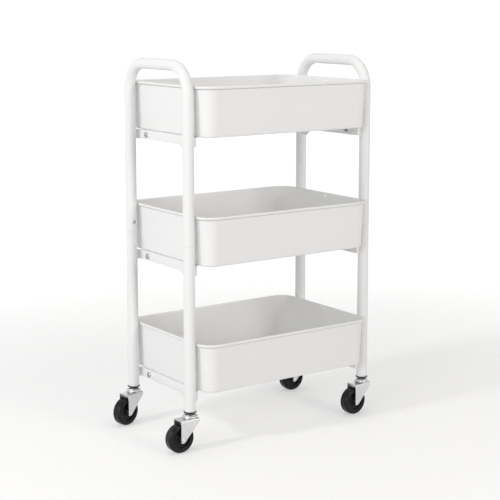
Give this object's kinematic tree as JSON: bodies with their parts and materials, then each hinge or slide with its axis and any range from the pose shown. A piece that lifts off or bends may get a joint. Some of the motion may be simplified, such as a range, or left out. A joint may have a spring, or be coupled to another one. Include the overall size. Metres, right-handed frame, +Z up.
{
  "type": "three-tier rolling cart",
  "caption": "Rolling utility cart: stacked rounded sheet-metal trays between two tube end frames with hoop handles, on swivel casters; carries supplies or a small printer.",
  "frame": {"origin": "on the floor, midway between the four legs", "axes": "+X along the cart towards its right end frame, +Y towards its rear, +Z up"},
  "size_m": [0.5596, 0.334, 0.8455],
  "materials": {
    "white_powder_coat": "satin white powder coat on steel",
    "zinc_screws": "zinc-plated steel",
    "plain_steel": "plain steel",
    "black_insert": "black moulded plastic",
    "caster_chrome": "bright chrome plate on pressed steel",
    "wheel_tread": "glossy black moulded tread",
    "wheel_core": "black moulded plastic"
  },
  "bodies": {
    "cart_frame": {"left_upper_hoop": "white_powder_coat", "right_upper_hoop": "white_powder_coat", "left_front_lower_leg": "white_powder_coat", "left_rear_lower_leg": "white_powder_coat", "right_front_lower_leg": "white_powder_coat", "right_rear_lower_leg": "white_powder_coat", "left_front_joint_sleeve": "plain_steel", "left_rear_joint_sleeve": "plain_steel", "right_front_joint_sleeve": "plain_steel", "right_rear_joint_sleeve": "plain_steel", "joint_screws": "zinc_screws", "left_bottom_rail": "white_powder_coat", "left_middle_rail": "white_powder_coat", "left_top_rail": "white_powder_coat", "right_bottom_rail": "white_powder_coat", "right_middle_rail": "white_powder_coat", "right_top_rail": "white_powder_coat", "bottom_tray": "white_powder_coat", "bottom_tray_tabs": "white_powder_coat", "middle_tray": "white_powder_coat", "middle_tray_tabs": "white_powder_coat", "top_tray": "white_powder_coat", "top_tray_tabs": "white_powder_coat", "tray_screws": "zinc_screws", "tray_nuts": "zinc_screws", "left_front_leg_plug": "black_insert", "left_front_caster_stem": "caster_chrome", "left_front_bearing_cap": "caster_chrome", "left_rear_leg_plug": "black_insert", "left_rear_caster_stem": "caster_chrome", "left_rear_bearing_cap": "caster_chrome", "right_front_leg_plug": "black_insert", "right_front_caster_stem": "caster_chrome", "right_front_bearing_cap": "caster_chrome", "right_rear_leg_plug": "black_insert", "right_rear_caster_stem": "caster_chrome", "right_rear_bearing_cap": "caster_chrome"},
    "left_front_swivel": {"left_front_fork": "caster_chrome", "left_front_axle": "caster_chrome", "left_front_bearing_balls": "plain_steel"},
    "left_front_wheel": {"left_front_tyre": "wheel_tread", "left_front_wheel_hub": "wheel_core"},
    "left_rear_swivel": {"left_rear_fork": "caster_chrome", "left_rear_axle": "caster_chrome", "left_rear_bearing_balls": "plain_steel"},
    "left_rear_wheel": {"left_rear_tyre": "wheel_tread", "left_rear_wheel_hub": "wheel_core"},
    "right_front_swivel": {"right_front_fork": "caster_chrome", "right_front_axle": "caster_chrome", "right_front_bearing_balls": "plain_steel"},
    "right_front_wheel": {"right_front_tyre": "wheel_tread", "right_front_wheel_hub": "wheel_core"},
    "right_rear_swivel": {"right_rear_fork": "caster_chrome", "right_rear_axle": "caster_chrome", "right_rear_bearing_balls": "plain_steel"},
    "right_rear_wheel": {"right_rear_tyre": "wheel_tread", "right_rear_wheel_hub": "wheel_core"}
  },
  "joints": [
    {"name": "left_front_swivel_turn", "type": "hinge", "parent": "cart_frame", "child": "left_front_swivel", "pos_m": [-0.242, -0.121, 0.0764], "axis": [0, 0, 1], "continuous": true},
    {"name": "left_front_wheel_spin", "type": "hinge", "parent": "left_front_swivel", "child": "left_front_wheel", "pos_m": [-0.2695, -0.121, 0.0315], "axis": [0, 1, 0], "continuous": true},
    {"name": "left_rear_swivel_turn", "type": "hinge", "parent": "cart_frame", "child": "left_rear_swivel", "pos_m": [-0.242, 0.121, 0.0764], "axis": [0, 0, 1], "continuous": true},
    {"name": "left_rear_wheel_spin", "type": "hinge", "parent": "left_rear_swivel", "child": "left_rear_wheel", "pos_m": [-0.26862, 0.11411, 0.0315], "axis": [-0.2504, 0.9681, 0], "continuous": true},
    {"name": "right_front_swivel_turn", "type": "hinge", "parent": "cart_frame", "child": "right_front_swivel", "pos_m": [0.242, -0.121, 0.0764], "axis": [0, 0, 1], "continuous": true},
    {"name": "right_front_wheel_spin", "type": "hinge", "parent": "right_front_swivel", "child": "right_front_wheel", "pos_m": [0.21454, -0.12244, 0.0315], "axis": [-0.0523, 0.9986, 0], "continuous": true},
    {"name": "right_rear_swivel_turn", "type": "hinge", "parent": "cart_frame", "child": "right_rear_swivel", "pos_m": [0.242, 0.121, 0.0764], "axis": [0, 0, 1], "continuous": true},
    {"name": "right_rear_wheel_spin", "type": "hinge", "parent": "right_rear_swivel", "child": "right_rear_wheel", "pos_m": [0.2145, 0.121, 0.0315], "axis": [0, 1, 0], "continuous": true}
  ]
}
